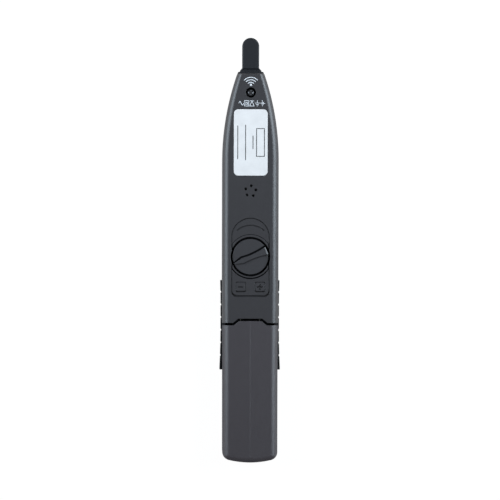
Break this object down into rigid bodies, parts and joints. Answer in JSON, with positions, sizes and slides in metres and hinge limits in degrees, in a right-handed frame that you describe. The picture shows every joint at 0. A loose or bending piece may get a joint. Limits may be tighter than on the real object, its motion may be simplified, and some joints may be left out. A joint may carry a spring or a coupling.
{
  "type": "non-contact voltage tester",
  "caption": "Pen-shaped non-contact voltage tester: tapered dark housing with a flat sensor tip, sensitivity dial, sound holes, ribbed side grips and a sliding battery cover.",
  "frame": {"origin": "on the resting plane, under the middle of the bounding box", "axes": "+X to the right seen from the back with the tip up, +Y along the tester to its sensor tip, +Z out of its back face"},
  "size_m": [0.0272, 0.19, 0.02],
  "materials": {
    "housing": "fine moulded grain",
    "cover": "fine moulded grain",
    "tip": "smooth satin",
    "grip": "soft matte",
    "dial": "fine moulded grain",
    "label": "satin film",
    "screw": "black oxide",
    "board": "solder mask",
    "component": "moulded",
    "component_metal": "drawn",
    "contact": "nickel plated",
    "sensor": "stamped",
    "cell": "printed jacket",
    "button": "soft matte",
    "lens": "clear tinted",
    "led": "clear tinted"
  },
  "bodies": {
    "housing": {"front_shell": "housing", "rear_shell": "housing", "sensor_tip": "tip", "grip_left": "grip", "grip_right": "grip", "rating_label": "label", "nose_screw": "screw", "bay_screw": "screw", "circuit_board": "board", "level_pot": "component", "piezo_buzzer": "component", "detector_chip": "component", "filter_capacitor": "component_metal", "tact_switch": "component", "indicator_lens": "lens", "indicator_led": "led", "sensor_plate": "sensor", "battery_cell_left": "cell", "battery_cell_right": "cell", "spring_left": "contact", "spring_right": "contact", "bridge_contact": "contact", "positive_contact": "contact", "negative_contact": "contact"},
    "dial": {"level_dial": "dial", "pot_shaft": "component_metal"},
    "button": {"power_button": "button", "switch_plunger": "component_metal"},
    "cover": {"battery_cover": "cover"}
  },
  "joints": [
    {"name": "dial_turn", "type": "hinge", "parent": "housing", "child": "dial", "pos_m": [0, -0.0031, 0.0179], "axis": [0, 0, 1], "range_deg": [-246, 24]},
    {"name": "button_press", "type": "slide", "parent": "housing", "child": "button", "axis": [0, 0, 1], "range_m": [0, 0.0005], "stiffness_N_per_m": 800},
    {"name": "cover_slide", "type": "slide", "parent": "housing", "child": "cover", "axis": [0, -1, 0], "range_m": [0, 0.07]}
  ]
}
